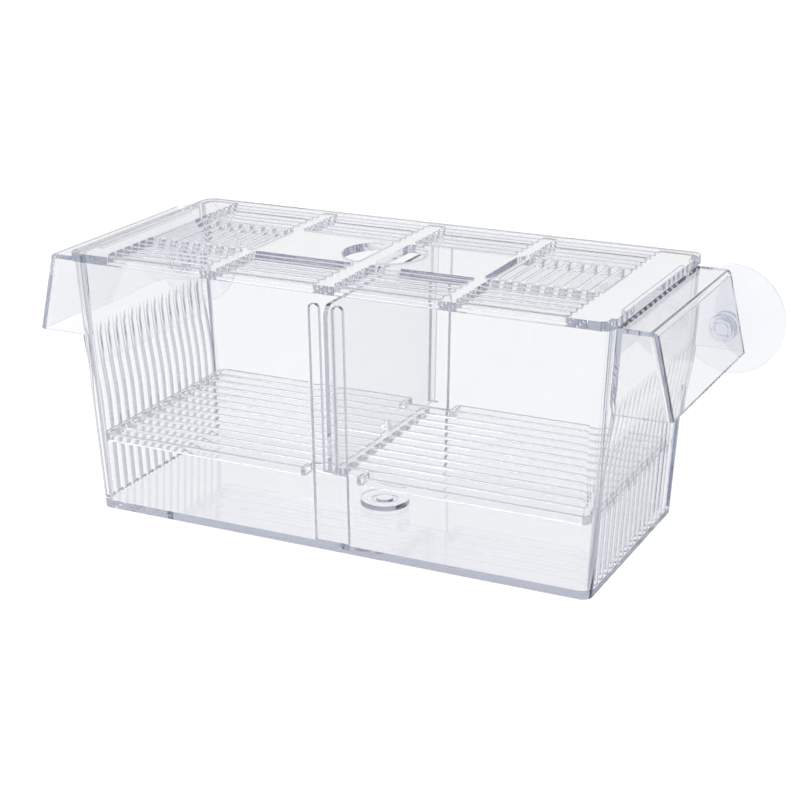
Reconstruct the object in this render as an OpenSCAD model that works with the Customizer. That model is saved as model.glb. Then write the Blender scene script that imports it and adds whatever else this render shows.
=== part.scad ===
// Fish breeding box: a clear tapered tank with grooved and slotted end walls and an open-bottomed
// hood at each end, a grilled lid, a slotted shelf, an upright divider and two suction cups.
// The origin is the middle of the tank's underside: X runs along the tank, +Y to its back, +Z up.

/* [Tank] */
// Length of the tank over its end posts, at the floor
base_length = 188.3; // [160:0.1:196]
// Width of the tank from front to back, at the floor
base_width = 86.1; // [76:0.1:91]
// Length of the tank over its end posts, at the rim
rim_length = 198.4; // [190:0.1:215]
// Width of the tank from front to back, at the rim
rim_width = 92.4; // [87:0.1:102]
// Height of the tank from its underside to its rim
tank_height = 92.4; // [82:0.1:120]
// Thickness of the walls
wall = 2; // [1.4:0.1:2.8]
// Thickness of the floor
floor_thickness = 2.6; // [1.6:0.1:4]
// Radius of the four upright corners, outside
corner_radius = 3.5; // [2:0.1:3.7]
// Radius of the four upright corners, inside
inner_radius = 3; // [1:0.1:5]

/* [Floor boss] */
// Diameter of the round boss in the middle of the floor
boss_diameter = 17.8; // [12:0.1:30]
// Height of the boss above the floor
boss_height = 2; // [1:0.1:4]
// Diameter of the ring-shaped recess in the boss
recess_diameter = 10.2; // [7.5:0.1:11]
// Diameter of the button inside the recess
button_diameter = 6.3; // [3:0.1:7]
// Depth of the recess
recess_depth = 1.2; // [0.5:0.1:3]

/* [End walls] */
// Least width of the plain post at each side of an end wall
post_width = 3.8; // [3.6:0.1:8]
// Width of one slot
slot_width = 2.7; // [1.5:0.05:3.5]
// Width of the fin between two slots
fin_width = 2.35; // [1.5:0.05:4]
// How far the slotted panel is set in from the posts
panel_inset = 0.3; // [0:0.05:0.8]
// How far the panel steps out at its shoulder
shoulder_step = 2.3; // [1.5:0.1:4]
// Distance from the rim down to the upper end of the shoulder
shoulder_drop = 25.4; // [20:0.1:30]
// Height of the shoulder
shoulder_height = 32; // [20:0.5:40]
// How far below the shoulder's upper end the slots close and turn into grooves
slot_drop = 15.6; // [10:0.1:18]
// How far above the shoulder's upper end the grooves end
groove_rise = 0.8; // [0.2:0.1:3]
// Length over which the grooves fade out at their upper end
groove_fade = 5; // [3:0.1:7]
// Depth of the grooves where they start to fade out, as a share of the wall
groove_share = 0.62; // [0.4:0.01:0.75]

/* [Hoods] */
// How far the hood's ridge stands out from the rim
hood_reach = 13; // [11:0.1:20]
// How much further out the hood's lower edge is than its ridge
hood_flare = 6.5; // [4:0.1:12]
// Height of the hood from its lower edge to its top
hood_depth = 28.4; // [26.5:0.1:34]
// Thickness of the hood
hood_wall = 1.8; // [1:0.1:2.2]
// Outer radius of the hood's ridge
ridge_radius = 2.5; // [2.4:0.1:4]
// Outer radius of the hood's upright corners
hood_corner = 2.4; // [2.3:0.1:3]

/* [Rails] */
// Width of one rail
rail_width = 3.7; // [2:0.1:5]
// How far the rails and their pad stand in from the wall
rail_depth = 2.2; // [1.5:0.1:3]
// Gap between the two rails of a pair
rail_gap = 5.1; // [4.6:0.1:6]
// Radius of the rounded edges of a rail
rail_edge = 0.5; // [0.3:0.1:0.8]
// Radius of the fillet between a rail and the wall
rail_fillet = 0.5; // [0.2:0.1:0.7]
// Distance from the rim down to the rounded top of a rail
rail_drop = 4.2; // [2.8:0.1:30]

/* [Shelf] */
// Height of the underside of the shelf
shelf_height = 25.6; // [15:0.1:28]
// Thickness of the shelf
shelf_thickness = 3; // [2:0.1:4]
// Width of one slot of the shelf
shelf_slot = 4.2; // [2:0.1:6]
// Width of the bar between two slots of the shelf
shelf_bar = 2.65; // [1.5:0.05:4]
// Width of the plain strip across the middle of the shelf
shelf_strip = 4.4; // [3:0.1:12]
// Width of the bar that closes the slots at each end
shelf_end_bar = 2.4; // [1.5:0.1:5]
// Least width of the bar along each long edge
shelf_edge_bar = 1.6; // [1:0.1:4]
// Clear space beside the rails' pad, inside a middle notch of the shelf
notch_side_gap = 3.6; // [1:0.1:8]
// Clear space in front of the rails' pad, inside a middle notch of the shelf
notch_front_gap = 4.6; // [1:0.1:6]
// Width of the land between a notch and the slots beside it
notch_land = 2; // [1:0.1:5]
// Radius of the shelf's corners
shelf_corner = 3.2; // [3:0.1:8]

/* [Divider] */
// Thickness of the divider
divider_thickness = 1.5; // [1:0.1:2.2]
// Distance from the rim down to the divider's top edge
divider_drop = 4.3; // [3:0.1:20]
// Radius of the divider's top corners
divider_corner = 4; // [1:0.1:10]
// Width of the arched notch in the divider's foot
foot_width = 8; // [3:0.1:9.8]
// Height of the arched notch in the divider's foot
foot_height = 5; // [5:0.1:10]

/* [Lid] */
// How far the lid reaches past the rim at each end
lid_end_overhang = 0.8; // [0:0.1:1.5]
// How far the lid reaches past the rim at the front and the back
lid_side_overhang = 1; // [0:0.1:3]
// Thickness of the lid
lid_thickness = 3; // [2:0.1:5]
// Radius of the lid's corners
lid_corner = 4; // [2:0.1:8]
// Width of one slot of the lid
lid_slot = 3.2; // [1.5:0.1:4]
// Width of the bar between two long slots of the lid
lid_bar = 1.67; // [1.2:0.01:4]
// Width of the plain margin at each end of the lid
end_margin = 14.5; // [8:0.1:25]
// Width of the plain margin along the front and the back of the lid
side_margin = 2.65; // [1.5:0.05:8]
// Half the width of the lid's middle band, which holds the crosswise slots
band_half = 17; // [16:0.1:22]
// Distance from the crosswise slots to the edge of the middle band
band_edge = 1.8; // [1:0.1:5]
// Width of the bar between two crosswise slots
cross_bar = 1.6; // [1.2:0.05:4]
// Half the length of the plain plate in the middle of the lid
plate_half = 43.7; // [20:0.1:70]
// Width of the plain bar between two columns of long slots
column_bar = 4.6; // [2:0.1:10]
// Width of the grip bar across the middle of the finger hole
grip_bar = 6; // [4:0.1:12]
// Radius of the finger hole
finger_radius = 15; // [9:0.1:15.5]
// Radius of the finger hole's corners beside the grip bar
finger_corner = 1.6; // [0.5:0.1:2]
// Length of the lip under each end margin
lip_length = 60; // [20:0.5:70]
// Thickness of the lip
lip_thickness = 1.5; // [1:0.1:3]
// Height of the lip below the lid
lip_height = 1.8; // [1:0.1:2.4]

/* [Suction cups] */
// Distance from the hood's ridge in to the cup's axis
cup_from_ridge = 2.9; // [2.7:0.1:3.5]
// Distance from the rim down to the cup's axis
cup_drop = 20.6; // [19.5:0.1:21]
// Radius of the cup
cup_radius = 20; // [14:0.1:21]
// Distance from the back of the tank's rim to the cup's rim
cup_reach = 5.1; // [4.5:0.1:12]
// Depth of the cup, from its rim to its collar
cup_depth = 7.5; // [6:0.1:7.9]
// Thickness of the cup at its rim
cup_edge = 0.9; // [0.5:0.1:1.5]
// Depth of the hollow in the cup
cup_hollow = 3.4; // [1.5:0.1:4]
// Radius of the stem, in its hole
stem_radius = 3.1; // [2:0.05:3.6]
// Radius of the collar behind the hood
collar_radius = 5; // [4.5:0.1:5.3]
// Least thickness of the collar
collar_thickness = 2.4; // [1:0.1:5]
// Radius of the button that holds the stem inside the hood
head_radius = 5; // [4.7:0.1:5.2]
// Thickness of that button
head_thickness = 3.6; // [2.5:0.1:5]
// Radius of that button's front edge
head_edge = 0.8; // [0.4:0.1:1]
// Radius of the raised ring on the front of that button
ring_radius = 3.9; // [3.6:0.1:4.2]
// Height of that ring
ring_height = 1.4; // [0.5:0.1:1.5]
// Radius of the rounded edges of that ring
ring_edge = 0.5; // [0.2:0.1:0.5]
// Radius of the hole inside that ring
dimple_radius = 2.5; // [1:0.1:2.6]
// Depth of that hole
dimple_depth = 2.5; // [1:0.1:3]

/* [Fits] */
// Gap around the shelf, and from the divider to the walls
fit_gap = 0.35; // [0.2:0.05:0.8]
// Gap between pieces that rest on or against each other
rest_gap = 0.3; // [0.2:0.05:0.4]
// Gap between the lid and the rim
seat_gap = 0.2; // [0.1:0.05:0.5]
// Gap between the lid's lips and the end walls
lip_gap = 0.5; // [0.3:0.05:1]
// Gap around the stem in its hole
stem_gap = 0.3; // [0.1:0.05:0.5]

/* [Hidden] */
$fn = 64;
// How far one solid runs into the one that it is joined to
bite = 0.5;
// How far a cut runs past the face that it opens
past = 1;
// Straight steps in a quarter turn of the tank's corners, and along the shoulder
corner_steps = 8;
shoulder_steps = 12;
ridge_steps = 8;
cup_steps = 10;
rail_steps = 5;
finger_steps = 16;
clear_plastic = [0.8, 0.84, 0.94, 0.45];
soft_plastic = [0.7, 0.82, 0.95, 0.6];

shoulder_end = tank_height - shoulder_drop;
shoulder_start = shoulder_end - shoulder_height;

// Outer face of an end post, and of the front and back walls, at a height
function post_x(z) = base_length/2 + (rim_length - base_length)/2*z/tank_height;
function side_y(z) = base_width/2 + (rim_width - base_width)/2*z/tank_height;

// Rises from 0 to 1 with no corner at either end
function ease(t) = t <= 0 ? 0 : t >= 1 ? 1 : t*t*(3 - 2*t);
function shoulder(z) = shoulder_step*ease((z - shoulder_start)/shoulder_height);

// Outer and inner face of the slotted panel at a height
function panel_outer_x(z) = post_x(z) - panel_inset + shoulder(z);
function panel_inner_x(z) = panel_outer_x(z) - wall;
function shoulder_z(i) = shoulder_start + shoulder_height*i/shoulder_steps;
panel_heights = concat(
    [floor_thickness - bite],
    [for (i = [0:shoulder_steps]) shoulder_z(i)],
    [tank_height]);

// Points along a circle's arc, from one angle to another
function arc(x, y, radius, from, to, steps) =
    [for (i = [0:steps])
        let (angle = from + (to - from)*i/steps)
        [x + radius*cos(angle), y + radius*sin(angle)]];

// Centres of a row of equal copies, centred on zero
function row(count, pitch) = [for (i = [0:count - 1]) (i - (count - 1)/2)*pitch];

// How many copies fit in a length, where the last one needs no bar
function copies(length, size, bar) = floor((length + bar)/(size + bar) + 0.01);

slot_count = copies(base_width - 2*post_width, slot_width, fin_width);
panel_half = (slot_count*(slot_width + fin_width) - fin_width)/2;
// A plane well inside the hollow of the tank, where the cuts through an end wall start
hollow_x = min(base_length, rim_length)/2 - 2*wall - past;
slot_top = shoulder_end - slot_drop;
groove_top = shoulder_end + groove_rise;

ridge_x = rim_length/2 + hood_reach;
hood_foot_x = ridge_x + hood_flare;
hood_bottom = tank_height - hood_depth;
hood_half = panel_half + hood_wall;
flare_angle = atan(hood_flare/hood_depth);
ridge_centre_x = ridge_x - ridge_radius/tan((90 + flare_angle)/2);
ridge_centre_z = tank_height - ridge_radius;

side_lean = atan((rim_width - base_width)/2/tank_height);
rail_outer_x = rail_gap/2 + rail_width;
rail_top = tank_height - rail_drop;
shelf_top = shelf_height + shelf_thickness;
shelf_half_x = panel_inner_x(shelf_height) - fit_gap;
shelf_half_y = side_y(shelf_height) - wall - fit_gap;
shelf_rows = copies(2*(shelf_half_y - shelf_edge_bar), shelf_slot, shelf_bar);
notch_half = rail_outer_x + notch_side_gap;
notch_y = side_y(shelf_height) - wall - rail_depth - notch_front_gap;

divider_foot = shelf_top + rest_gap;
divider_top = tank_height - divider_drop;

lid_bottom = tank_height + seat_gap;
lid_half_x = rim_length/2 + lid_end_overhang;
lid_half_y = rim_width/2 + lid_side_overhang;
column_end = lid_half_x - end_margin;
column_length = (column_end - grip_bar/2 - column_bar)/2;
row_end = lid_half_y - side_margin;
lid_rows = copies(row_end - band_half, lid_slot, lid_bar);
band_slots = copies(column_end - plate_half, lid_slot, cross_bar);

cup_x = ridge_x - cup_from_ridge;
cup_z = tank_height - cup_drop;
tank_back = max(side_y(cup_z - cup_radius), side_y(tank_height));
hole_radius = stem_radius + stem_gap;
cup_standoff = max(tank_back + cup_reach - hood_half, rest_gap + collar_thickness + cup_depth);

// The same shape at both ends of the tank, or at its front and its back
module both_ends() {
    children();
    mirror([1, 0, 0]) children();
}

module front_and_back() {
    children();
    mirror([0, 1, 0]) children();
}

// Rounded outline of the tank at a height
function tank_ring(z, inset, radius) =
    [for (corner = [0:3], step = [0:corner_steps])
        let (angle = 90*(corner + step/corner_steps))
        let (reach_x = post_x(z) - inset - radius)
        let (reach_y = side_y(z) - inset - radius)
        [(corner == 0 || corner == 3 ? reach_x : -reach_x) + radius*cos(angle),
         (corner < 2 ? reach_y : -reach_y) + radius*sin(angle), z]];

// Solid between two heights that leans with the walls
module tapered_block(low, high, inset, radius) {
    around = 4*(corner_steps + 1);
    polyhedron(
        points = concat(tank_ring(low, inset, radius), tank_ring(high, inset, radius)),
        faces = concat(
            [[for (i = [0:around - 1]) i]],
            [[for (i = [around - 1:-1:0]) around + i]],
            [for (i = [0:around - 1])
                [i, around + i, around + (i + 1)%around, (i + 1)%around]]));
}

// Extrudes an outline drawn in the XZ plane to both sides of Y = 0
module slab(width) {
    rotate([90, 0, 0])
        linear_extrude(height = width, center = true)
            children();
}

// Opening in the end wall that the slotted panel fills
module end_window() {
    translate([hollow_x, -panel_half, floor_thickness])
        cube([rim_length/2, 2*panel_half, tank_height]);
}

// Panel with its shoulder, before its slots are cut
module end_panel() {
    last = len(panel_heights) - 1;
    slab(2*(panel_half + bite))
        polygon(concat(
            [for (i = [0:last]) [panel_outer_x(panel_heights[i]), panel_heights[i]]],
            [for (i = [last:-1:0]) [panel_inner_x(panel_heights[i]), panel_heights[i]]]));
}

// Slots, each open low down. Where it closes, on the shoulder, it turns into a groove that gets
// shallower upwards and then fades out
module end_slots() {
    fade_start = groove_top - groove_fade;
    fade_x = panel_inner_x(fade_start) + groove_share*wall;
    fade_slope = (fade_x - panel_inner_x(groove_top))/groove_fade;
    for (y = row(slot_count, slot_width + fin_width))
        translate([0, y, 0])
            slab(slot_width)
                polygon([[hollow_x, floor_thickness],
                         [panel_outer_x(slot_top), floor_thickness],
                         [panel_outer_x(slot_top), slot_top],
                         [fade_x, fade_start],
                         [hollow_x, fade_start + (fade_x - hollow_x)/fade_slope]]);
}

// Round the ridge of the hood, from the top to the sloping side
function ridge_arc(radius) =
    arc(ridge_centre_x, ridge_centre_z, radius, 90, flare_angle, ridge_steps);

// Outline of the hood from its ridge to its lower edge, set in by a thickness and drawn as far
// in as an X at the top and an X at the lower edge
module hood_outline(inset, top_x, bottom_x, bottom) {
    slope_inset = inset/cos(flare_angle);
    lower_x = hood_foot_x + (hood_bottom - bottom)*tan(flare_angle) - slope_inset;
    polygon(concat(
        [[bottom_x, bottom], [top_x, tank_height - inset]],
        ridge_arc(ridge_radius - inset),
        [[lower_x, bottom]]));
}

// Leans with the sloping side of the hood, and rounds the upright corners beside it
module hood_column(inset) {
    reach = hood_reach + hood_flare + 2*wall;
    translate([ridge_x, 0, tank_height])
        rotate([0, -flare_angle, 0])
            translate([-reach, 0, -2*hood_depth])
                linear_extrude(height = 3*hood_depth)
                    round_rectangle(reach - inset, hood_half - inset, hood_corner - inset);
}

// Cheek that closes the side of the shoulder, below the hood
module cheek() {
    polygon(concat(
        [for (i = [0:shoulder_steps]) [panel_outer_x(shoulder_z(i)), shoulder_z(i)]],
        [[post_x(shoulder_end) - wall/2, shoulder_end],
         [post_x(shoulder_start) - wall/2, shoulder_start]]));
}

// Hood, open below, which traps the air that keeps the box afloat
module hood() {
    start_x = panel_inner_x(tank_height) + wall/2;
    difference() {
        intersection() {
            slab(2*hood_half)
                hood_outline(0, post_x(tank_height) - wall/2, post_x(hood_bottom) - wall/2, hood_bottom);
            hood_column(0);
        }
        intersection() {
            slab(2*panel_half)
                hood_outline(hood_wall, hollow_x, hollow_x, hood_bottom - past);
            hood_column(hood_wall);
        }
        translate([hollow_x, -panel_half, hood_bottom - past])
            cube([start_x - hollow_x, 2*panel_half, hood_depth + 2*past]);
    }
    front_and_back()
        translate([0, (panel_half + hood_half)/2, 0])
            slab(hood_wall) cheek();
}

// Hole for the stem of a suction cup, in the back side wall of the hood
module stem_hole() {
    translate([cup_x, 0, cup_z])
        rotate([-90, 0, 0])
            cylinder(r = hole_radius, h = hood_half + past);
}

// Half the section of a rail, from its middle outwards: a rounded edge, then a fillet to the wall
function rail_section(half) = concat(
    [[0, -bite], [0, rail_depth]],
    arc(half - rail_edge, rail_depth - rail_edge, rail_edge, 90, 0, rail_steps),
    arc(half + rail_fillet, rail_fillet, rail_fillet, 180, 270, rail_steps),
    [[half + rail_fillet, -bite]]);

// Straight length of a rail or of the pad below a pair of them, upwards along +Z
module rail_length(half, length) {
    linear_extrude(height = length)
        for (side = [0, 1])
            mirror([side, 0]) polygon(rail_section(half));
}

// Rail with a half round top
module rail(height) {
    straight = height - rail_width/2;
    rail_length(rail_width/2, straight);
    translate([0, 0, straight])
        rotate([-90, 0, 0])
            rotate_extrude()
                polygon(rail_section(rail_width/2));
}

// Pad and pair of rails that guide the divider, on the front wall
module rails() {
    rail_foot = shelf_top - bite;
    translate([0, wall - base_width/2, 0])
        rotate([side_lean, 0, 0]) {
            translate([0, 0, floor_thickness - bite])
                rail_length(rail_outer_x, shelf_top - floor_thickness + bite);
            for (x = [-1, 1])
                translate([x*(rail_gap + rail_width)/2, 0, rail_foot])
                    rail(rail_top - rail_foot);
        }
}

module floor_boss() {
    translate([0, 0, floor_thickness - bite])
        difference() {
            cylinder(d = boss_diameter, h = boss_height + bite);
            translate([0, 0, boss_height + bite - recess_depth])
                difference() {
                    cylinder(d = recess_diameter, h = recess_depth + past);
                    translate([0, 0, -past])
                        cylinder(d = button_diameter, h = recess_depth + 2*past);
                }
        }
}

module tank() {
    color(clear_plastic)
        difference() {
            union() {
                difference() {
                    tapered_block(0, tank_height, 0, corner_radius);
                    tapered_block(floor_thickness, tank_height + past, wall, inner_radius);
                    both_ends() end_window();
                }
                both_ends() end_panel();
                both_ends() hood();
                front_and_back() rails();
                floor_boss();
            }
            both_ends() end_slots();
            both_ends() stem_hole();
        }
}

// Flat rectangle with rounded corners
module round_rectangle(half_x, half_y, radius) {
    square([2*(half_x - radius), 2*half_y], center = true);
    square([2*half_x, 2*(half_y - radius)], center = true);
    for (x = [-1, 1], y = [-1, 1])
        translate([x*(half_x - radius), y*(half_y - radius)])
            circle(r = radius);
}

// Slot with half round ends, along X from one point to another
module long_slot(from, to, y, width) {
    translate([from + width/2, y - width/2])
        square([to - from - width, width]);
    for (x = [from + width/2, to - width/2])
        translate([x, y])
            circle(d = width);
}

// Long slots of one quarter of the lid, in two columns
module lid_rows_quarter() {
    for (i = [0:lid_rows - 1], column = [0, 1]) {
        y = row_end - lid_slot/2 - i*(lid_slot + lid_bar);
        from = grip_bar/2 + column*(column_length + column_bar);
        long_slot(from, from + column_length, y, lid_slot);
    }
}

// Crosswise slots in the middle band, at one end
module lid_band() {
    for (i = [0:band_slots - 1])
        translate([column_end - lid_slot/2 - i*(lid_slot + cross_bar), 0])
            rotate([0, 0, 90])
                long_slot(band_edge - band_half, band_half - band_edge, 0, lid_slot);
}

// Round hole with the grip bar across it, and rounded corners beside that bar
module finger_hole() {
    corner_x = grip_bar/2 + finger_corner;
    corner_y = sqrt(pow(finger_radius - finger_corner, 2) - pow(corner_x, 2));
    turn = atan2(corner_y, corner_x);
    bend = turn*(1 - 1/finger_steps);
    both_ends()
        polygon(concat(
            arc(corner_x, -corner_y, finger_corner, 180, 360 - turn, corner_steps),
            arc(0, 0, finger_radius, -bend, bend, 2*finger_steps),
            arc(corner_x, corner_y, finger_corner, turn, 180, corner_steps)));
}

module lid() {
    lip_x = panel_inner_x(tank_height - lip_height) - lip_gap;
    color(clear_plastic) {
        translate([0, 0, lid_bottom])
            linear_extrude(height = lid_thickness)
                difference() {
                    round_rectangle(lid_half_x, lid_half_y, lid_corner);
                    both_ends() front_and_back() lid_rows_quarter();
                    both_ends() lid_band();
                    finger_hole();
                }
        both_ends()
            translate([lip_x - lip_thickness, -lip_length/2, lid_bottom - lip_height])
                cube([lip_thickness, lip_length, lip_height + bite]);
    }
}

// Slots of the shelf, on one side of its middle strip
module shelf_slots() {
    for (y = row(shelf_rows, shelf_slot + shelf_bar)) {
        beside_notch = abs(y) + shelf_slot/2 > notch_y - notch_land;
        from = beside_notch ? notch_half + notch_land : shelf_strip/2;
        translate([from, y - shelf_slot/2])
            square([shelf_half_x - shelf_end_bar - from, shelf_slot]);
    }
}

module shelf() {
    color(clear_plastic)
        translate([0, 0, shelf_height])
            linear_extrude(height = shelf_thickness)
                difference() {
                    round_rectangle(shelf_half_x, shelf_half_y, shelf_corner);
                    both_ends() shelf_slots();
                    front_and_back()
                        translate([-notch_half, notch_y])
                            square([2*notch_half, shelf_half_y]);
                }
}

// Upright bar with a half round top
module round_top(width, height) {
    square([width, height - width/2]);
    translate([width/2, height - width/2])
        circle(d = width);
}

// Half the width of the divider at a height
function divider_half(z) = side_y(z) - wall - fit_gap;

module divider() {
    bend_z = divider_top - divider_corner;
    bend_y = divider_half(bend_z) - divider_corner/cos(side_lean);
    edge = concat(
        [[divider_half(divider_foot), divider_foot]],
        arc(bend_y, bend_z, divider_corner, -side_lean, 90, corner_steps));
    last = len(edge) - 1;
    color(clear_plastic)
        rotate([90, 0, 90])
            linear_extrude(height = divider_thickness, center = true)
                difference() {
                    polygon(concat(edge, [for (i = [last:-1:0]) [-edge[i][0], edge[i][1]]]));
                    translate([-foot_width/2, divider_foot - past])
                        round_top(foot_width, foot_height + past);
                }
}

// Half of the suction cup's section, from its axis outwards; its height runs towards the back
module cup_section() {
    head_back = -hood_wall - rest_gap;
    ring_front = head_back - head_thickness;
    head_front = ring_front + ring_height;
    dish_start = cup_standoff - cup_depth;
    rim_front = cup_standoff - cup_edge;
    rim_in = cup_radius - cup_edge;
    polygon(concat(
        [[0, ring_front + dimple_depth],
         [dimple_radius, ring_front + dimple_depth]],
        arc(dimple_radius + ring_edge, ring_front + ring_edge, ring_edge, 180, 270, cup_steps),
        arc(ring_radius - ring_edge, ring_front + ring_edge, ring_edge, -90, 0, cup_steps),
        [[ring_radius, head_front]],
        arc(head_radius - head_edge, head_front + head_edge, head_edge, -90, 0, cup_steps),
        [[head_radius, head_back],
         [stem_radius, head_back],
         [stem_radius, rest_gap],
         [collar_radius, rest_gap],
         [collar_radius, dish_start],
         [cup_radius - cup_edge/2, rim_front],
         [cup_radius, rim_front + cup_edge/2],
         [cup_radius, cup_standoff]],
        [for (i = [cup_steps:-1:0])
            [rim_in*i/cup_steps, cup_standoff - cup_hollow*(1 - pow(i/cup_steps, 2))]]));
}

module suction_cup() {
    color(soft_plastic)
        translate([cup_x, hood_half, cup_z])
            rotate([-90, 0, 0])
                rotate_extrude()
                    cup_section();
}

module suction_cup_left() {
    mirror([1, 0, 0]) suction_cup();
}

module suction_cup_right() {
    suction_cup();
}

tank();
lid();
shelf();
divider();
suction_cup_left();
suction_cup_right();
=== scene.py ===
import math

import bpy
from mathutils import Matrix, Vector

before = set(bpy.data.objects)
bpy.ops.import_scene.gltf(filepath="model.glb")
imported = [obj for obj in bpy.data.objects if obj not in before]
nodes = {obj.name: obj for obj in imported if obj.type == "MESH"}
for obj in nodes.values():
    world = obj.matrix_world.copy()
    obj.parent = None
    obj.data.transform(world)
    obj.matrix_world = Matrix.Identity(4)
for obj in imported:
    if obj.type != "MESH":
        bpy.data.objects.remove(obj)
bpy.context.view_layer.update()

scene = bpy.context.scene

# Lengths are metres and colours are linear.
WHITE = (1.0, 1.0, 1.0)

# The rigid mouldings: clear polystyrene with a faint blue-violet depth.
RIGID_IOR = 1.57
RIGID_ROUGHNESS = 0.0
RIGID_HAZE = 0.02
VIOLET = (0.71, 0.735, 0.80)
RIGID_SHADE = (0.994, 0.9945, 0.995)
# Node: strength of the flow waves, density of the tint, width of the bevel.
RIGID = {
    "tank": (0.012, 20.0, 0.0005),
    "lid": (0.01, 24.0, 0.00035),
    "shelf": (0.008, 20.0, 0.0005),
    "divider": (0.012, 20.0, 0.0004),
}

# The cups: soft clear vinyl, slightly cloudy.
SOFT_NODES = ("suction_cup_left", "suction_cup_right")
SOFT_BEVEL = 0.0003
SOFT = {
    "tint": (0.98, 0.99, 1.0), "ior": 1.46, "roughness": 0.02, "haze": 0.05, "wave": 0.03,
    "depth": (0.66, 0.71, 0.88), "density": 40.0, "shade": (0.97, 0.98, 0.99),
}

# Pattern of the haze: size, detail, and the part of the noise it is taken from.
HAZE_SCALE, HAZE_DETAIL = 28.0, 4.0
HAZE_FROM, HAZE_TO = 0.35, 0.75
# Pattern of the flow waves: size, detail, and their height.
FLOW_SCALE, FLOW_DETAIL = 55.0, 2.0
FLOW_HEIGHT = 0.0004

WELD_DISTANCE = 1e-6
BEVEL_SEGMENTS = 3
BEVEL_ANGLE = math.radians(35)
NORMAL_WEIGHT = 50

# What glass sees of the studio: height of the direction, colour.
SKY = (
    (-0.05, (0.95, 0.95, 0.955)),
    (0.15, (0.95, 0.95, 0.955)),
    (0.45, (0.92, 0.925, 0.94)),
    (0.75, (0.42, 0.43, 0.47)),
    (1.00, (0.40, 0.41, 0.46)),
)
# A face that mirrors the studio shows its white soft boxes.
BOXES = WHITE
# The share of the studio that each reflection inside the plastic leaves, and the colour once it is all gone.
KEPT = 0.33
DIM = (0.28, 0.29, 0.365)
# How many of those reflections cost nothing: fewer for the floor, whose edges stand out darker.
FLOOR_FREE = 0.35
WORLD_FREE = 0.9
# Light that is piped along a wall comes back: over these reflections the loss shrinks to this share.
PIPED_FROM, PIPED_TO = 3.0, 7.0
PIPED_LOSS = 0.2

FLOOR_HALF = 4.0
FLOOR_HEIGHT = -0.0003
PAPER = (0.86, 0.865, 0.875)
# Light that the camera alone sees the paper give, near the object and far off, and the distances between.
GLOW_NEAR, GLOW_FAR = 0.16, 0.34
GLOW_FROM, GLOW_TO = 0.6, 2.2
# Distances at which the paper starts to end, and has ended, for glass.
PAPER_END = (2.4, 3.8)
# Strength of the world for lighting the object. The camera, glass and gloss see it at 1.
WORLD_LIGHT = 0.8

# Lamps: place, width and height, power.
LAMPS = {
    "key": ((-0.9, -0.7, 1.5), (1.2, 1.2), 14.0),
    "fill": ((1.4, 0.4, 1.2), (1.0, 1.0), 6.0),
}
LAMP_AIM = (0, 0, 0.05)

# The camera, as fitted to the photograph.
CAMERA_PLACE = (0.277748, -0.560378, 0.257507)
CAMERA_RIGHT = (0.89993, 0.43603, -0.00218)
CAMERA_AHEAD = (-0.41277, 0.85028, -0.32657)
CAMERA_LENS = 83.52
CAMERA_SENSOR = 36.0
CAMERA_CLIP = (0.01, 20.0)

# Sockets of a mix of two colours.
COLOR_A, COLOR_B, COLOR_OUT = 6, 7, 2

# Light has to cross many clear walls.
MAX_BOUNCES = 64
GLASS_BOUNCES = 48
DIFFUSE_BOUNCES = 3


def add(tree, kind, **values):
    node = tree.nodes.new(kind)
    for name, value in values.items():
        setattr(node, name, value)
    return node


def set_inputs(node, **values):
    """Set inputs by name, with _ for a space."""
    for name, value in values.items():
        node.inputs[name.replace("_", " ")].default_value = value


def math_node(tree, operation, *values):
    node = add(tree, "ShaderNodeMath", operation=operation)
    for socket, value in zip(node.inputs, values):
        if isinstance(value, (int, float)):
            socket.default_value = value
        else:
            tree.links.new(value, socket)
    return node.outputs[0]


def new_material(name):
    material = bpy.data.materials.new(name)
    material.use_nodes = True
    material.node_tree.nodes.clear()
    return material


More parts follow.
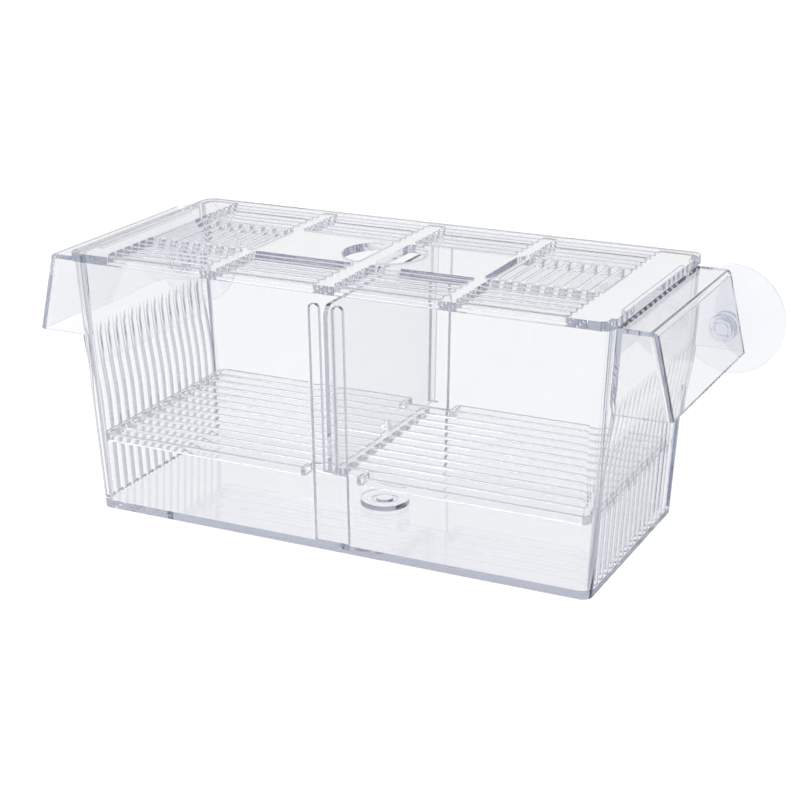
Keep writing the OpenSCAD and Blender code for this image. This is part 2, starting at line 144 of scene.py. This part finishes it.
def clear_plastic(name, tint, ior, roughness, haze, wave, depth, density, shade):
    """Moulded clear plastic, with the slow waves and the haze of moulding.

    It refracts, is tinted by its depth, and lets light pass straight on to the floor, thinned by shade."""
    material = new_material(name)
    tree = material.node_tree
    link = tree.links.new
    coordinate = add(tree, "ShaderNodeTexCoord")
    # haze that changes slowly over the moulding
    clouds = add(tree, "ShaderNodeTexNoise")
    set_inputs(clouds, Scale=HAZE_SCALE, Detail=HAZE_DETAIL)
    link(coordinate.outputs["Object"], clouds.inputs["Vector"])
    rough = add(tree, "ShaderNodeMapRange")
    set_inputs(rough, From_Min=HAZE_FROM, From_Max=HAZE_TO, To_Min=roughness, To_Max=roughness + haze)
    link(clouds.outputs["Fac"], rough.inputs["Value"])
    # waves where the melt flowed
    flow = add(tree, "ShaderNodeTexNoise")
    set_inputs(flow, Scale=FLOW_SCALE, Detail=FLOW_DETAIL)
    link(coordinate.outputs["Object"], flow.inputs["Vector"])
    bump = add(tree, "ShaderNodeBump")
    set_inputs(bump, Strength=wave, Distance=FLOW_HEIGHT)
    link(flow.outputs["Fac"], bump.inputs["Height"])

    body = add(tree, "ShaderNodeBsdfPrincipled")
    set_inputs(body, Base_Color=(*tint, 1), IOR=ior, Transmission_Weight=1.0)
    link(rough.outputs["Result"], body.inputs["Roughness"])
    link(bump.outputs["Normal"], body.inputs["Normal"])
    # shadow and diffuse rays pass straight through
    through = add(tree, "ShaderNodeBsdfTransparent")
    set_inputs(through, Color=(*shade, 1))
    path = add(tree, "ShaderNodeLightPath")
    plain = math_node(tree, "MAXIMUM", path.outputs["Is Shadow Ray"], path.outputs["Is Diffuse Ray"])
    mix = add(tree, "ShaderNodeMixShader")
    link(plain, mix.inputs[0])
    link(body.outputs[0], mix.inputs[1])
    link(through.outputs[0], mix.inputs[2])
    volume = add(tree, "ShaderNodeVolumeAbsorption")
    set_inputs(volume, Color=(*depth, 1), Density=density)
    out = add(tree, "ShaderNodeOutputMaterial")
    link(mix.outputs[0], out.inputs["Surface"])
    link(volume.outputs[0], out.inputs["Volume"])
    return material


def dress(obj, material, bevel):
    """Give a CAD node its material, a small bevel of that width, and smooth normals."""
    obj.data.materials.clear()
    obj.data.materials.append(material)
    weld = obj.modifiers.new("weld", "WELD")
    weld.merge_threshold = WELD_DISTANCE
    edge = obj.modifiers.new("edge", "BEVEL")
    edge.width = bevel
    edge.segments = BEVEL_SEGMENTS
    edge.limit_method = "ANGLE"
    edge.angle_limit = BEVEL_ANGLE
    edge.use_clamp_overlap = True
    smooth = obj.modifiers.new("smooth", "WEIGHTED_NORMAL")
    smooth.mode = "FACE_AREA"
    smooth.weight = NORMAL_WEIGHT
    smooth.keep_sharp = False


def seen_by_glass(tree, path, free):
    """Whether glass or gloss sees this, and how much of it has gone by reflections inside the plastic.

    A few reflections, beyond the free ones, turn the ray to the dim sides of the studio.
    Many of them pipe it along a wall to the paper again."""
    glass = math_node(tree, "MAXIMUM", path.outputs["Is Glossy Ray"], path.outputs["Is Transmission Ray"])
    inside = math_node(tree, "SUBTRACT", path.outputs["Glossy Depth"], path.outputs["Is Reflection Ray"])
    turns = math_node(tree, "MAXIMUM", math_node(tree, "SUBTRACT", inside, free), 0.0)
    turned = math_node(tree, "SUBTRACT", 1.0, math_node(tree, "POWER", KEPT, turns))
    piped = add(tree, "ShaderNodeMapRange")
    set_inputs(piped, From_Min=PIPED_FROM, From_Max=PIPED_TO, To_Min=1.0, To_Max=PIPED_LOSS)
    link = tree.links.new
    link(inside, piped.inputs["Value"])
    return glass, math_node(tree, "MULTIPLY", turned, piped.outputs["Result"])


def make_floor():
    """Pale paper that keeps the object's shadow."""
    mesh = bpy.data.meshes.new("floor")
    signs = ((-1, -1), (1, -1), (1, 1), (-1, 1))
    corners = [(x * FLOOR_HALF, y * FLOOR_HALF, FLOOR_HEIGHT) for x, y in signs]
    mesh.from_pydata(corners, [], [(0, 1, 2, 3)])
    floor = bpy.data.objects.new("floor", mesh)
    scene.collection.objects.link(floor)
    material = new_material("floor_paper")
    tree = material.node_tree
    link = tree.links.new
    paper = add(tree, "ShaderNodeBsdfDiffuse")
    set_inputs(paper, Color=(*PAPER, 1))
    glow = add(tree, "ShaderNodeEmission")
    path = add(tree, "ShaderNodeLightPath")
    glass, gone = seen_by_glass(tree, path, FLOOR_FREE)
    total = add(tree, "ShaderNodeAddShader")
    link(paper.outputs[0], total.inputs[0])
    link(glow.outputs[0], total.inputs[1])
    place = add(tree, "ShaderNodeNewGeometry")
    reach = add(tree, "ShaderNodeVectorMath", operation="LENGTH")
    link(place.outputs["Position"], reach.inputs[0])
    # the camera sees the far paper melt into the white behind it
    sweep = add(tree, "ShaderNodeMapRange", interpolation_type="SMOOTHSTEP")
    set_inputs(sweep, From_Min=GLOW_FROM, From_Max=GLOW_TO, To_Min=GLOW_NEAR, To_Max=GLOW_FAR)
    link(reach.outputs["Value"], sweep.inputs["Value"])
    to_camera = math_node(tree, "MULTIPLY", path.outputs["Is Camera Ray"], sweep.outputs["Result"])
    link(to_camera, glow.inputs["Strength"])
    # glass sees the paper end in the dim studio
    far = add(tree, "ShaderNodeMapRange", interpolation_type="SMOOTHSTEP")
    set_inputs(far, From_Min=PAPER_END[0], From_Max=PAPER_END[1])
    link(reach.outputs["Value"], far.inputs["Value"])
    dark = add(tree, "ShaderNodeEmission")
    set_inputs(dark, Color=(*DIM, 1))
    ends = add(tree, "ShaderNodeMixShader")
    hidden = math_node(tree, "MAXIMUM", far.outputs["Result"], gone)
    link(math_node(tree, "MULTIPLY", hidden, glass), ends.inputs[0])
    link(total.outputs[0], ends.inputs[1])
    link(dark.outputs[0], ends.inputs[2])
    out = add(tree, "ShaderNodeOutputMaterial")
    link(ends.outputs[0], out.inputs["Surface"])
    mesh.materials.append(material)


def make_world():
    """White to the camera. Glass and gloss see a pale band round the horizon and dim studio air above it."""
    world = bpy.data.worlds.new("studio")
    scene.world = world
    world.use_nodes = True
    tree = world.node_tree
    tree.nodes.clear()
    link = tree.links.new
    coordinate = add(tree, "ShaderNodeTexCoord")
    split = add(tree, "ShaderNodeSeparateXYZ")
    link(coordinate.outputs["Generated"], split.inputs[0])
    ramp = add(tree, "ShaderNodeValToRGB")
    link(math_node(tree, "MULTIPLY_ADD", split.outputs["Z"], 0.5, 0.5), ramp.inputs["Fac"])
    stops = ramp.color_ramp.elements
    while len(stops) > 1:
        stops.remove(stops[0])
    for i, (height, color) in enumerate(SKY):
        position = 0.5 + 0.5 * height
        stop = stops[0] if i == 0 else stops.new(position)
        stop.position = position
        stop.color = (*color, 1)
    path = add(tree, "ShaderNodeLightPath")
    glass, gone = seen_by_glass(tree, path, WORLD_FREE)
    boxes = add(tree, "ShaderNodeMix", data_type="RGBA")
    boxes.inputs[COLOR_B].default_value = (*BOXES, 1)
    link(path.outputs["Is Reflection Ray"], boxes.inputs[0])
    link(ramp.outputs["Color"], boxes.inputs[COLOR_A])
    dimmed = add(tree, "ShaderNodeMix", data_type="RGBA")
    dimmed.inputs[COLOR_B].default_value = (*DIM, 1)
    link(gone, dimmed.inputs[0])
    link(boxes.outputs[COLOR_OUT], dimmed.inputs[COLOR_A])
    white = add(tree, "ShaderNodeMix", data_type="RGBA")
    white.inputs[COLOR_A].default_value = (*WHITE, 1)
    link(glass, white.inputs[0])
    link(dimmed.outputs[COLOR_OUT], white.inputs[COLOR_B])
    back = add(tree, "ShaderNodeBackground")
    link(white.outputs[COLOR_OUT], back.inputs["Color"])
    seen = math_node(tree, "MAXIMUM", path.outputs["Is Camera Ray"], glass)
    level = add(tree, "ShaderNodeMapRange")
    set_inputs(level, To_Min=WORLD_LIGHT, To_Max=1.0)
    link(seen, level.inputs["Value"])
    link(level.outputs["Result"], back.inputs["Strength"])
    out = add(tree, "ShaderNodeOutputWorld")
    link(back.outputs[0], out.inputs["Surface"])


def make_lamp(name, place, size, power):
    data = bpy.data.lights.new(name, "AREA")
    data.shape = "RECTANGLE"
    data.size, data.size_y = size
    data.energy = power
    data.color = WHITE
    light = bpy.data.objects.new(name, data)
    light.location = place
    light.rotation_euler = (Vector(LAMP_AIM) - Vector(place)).to_track_quat("-Z", "Y").to_euler()
    scene.collection.objects.link(light)


def make_camera():
    data = bpy.data.cameras.new("camera")
    data.sensor_width = CAMERA_SENSOR
    data.lens = CAMERA_LENS
    data.clip_start, data.clip_end = CAMERA_CLIP
    camera = bpy.data.objects.new("camera", data)
    right = Vector(CAMERA_RIGHT).normalized()
    ahead = Vector(CAMERA_AHEAD).normalized()
    up = right.cross(ahead).normalized()
    right = ahead.cross(up).normalized()
    columns = Matrix((right, up, -ahead)).transposed().to_4x4()
    camera.matrix_world = Matrix.Translation(CAMERA_PLACE) @ columns
    scene.collection.objects.link(camera)
    scene.camera = camera


for name, (wave, density, bevel) in RIGID.items():
    plastic = clear_plastic("clear_" + name, tint=WHITE, ior=RIGID_IOR, roughness=RIGID_ROUGHNESS, haze=RIGID_HAZE,
                            wave=wave, depth=VIOLET, density=density, shade=RIGID_SHADE)
    dress(nodes[name], plastic, bevel)
vinyl = clear_plastic("soft_cup", **SOFT)
for name in SOFT_NODES:
    dress(nodes[name], vinyl, SOFT_BEVEL)

make_floor()
make_world()
for name, lamp in LAMPS.items():
    make_lamp(name, *lamp)
make_camera()

scene.view_settings.view_transform = "Standard"
scene.cycles.max_bounces = MAX_BOUNCES
scene.cycles.transmission_bounces = GLASS_BOUNCES
scene.cycles.glossy_bounces = GLASS_BOUNCES
scene.cycles.diffuse_bounces = DIFFUSE_BOUNCES
scene.cycles.transparent_max_bounces = MAX_BOUNCES
scene.cycles.caustics_reflective = False
scene.cycles.caustics_refractive = False
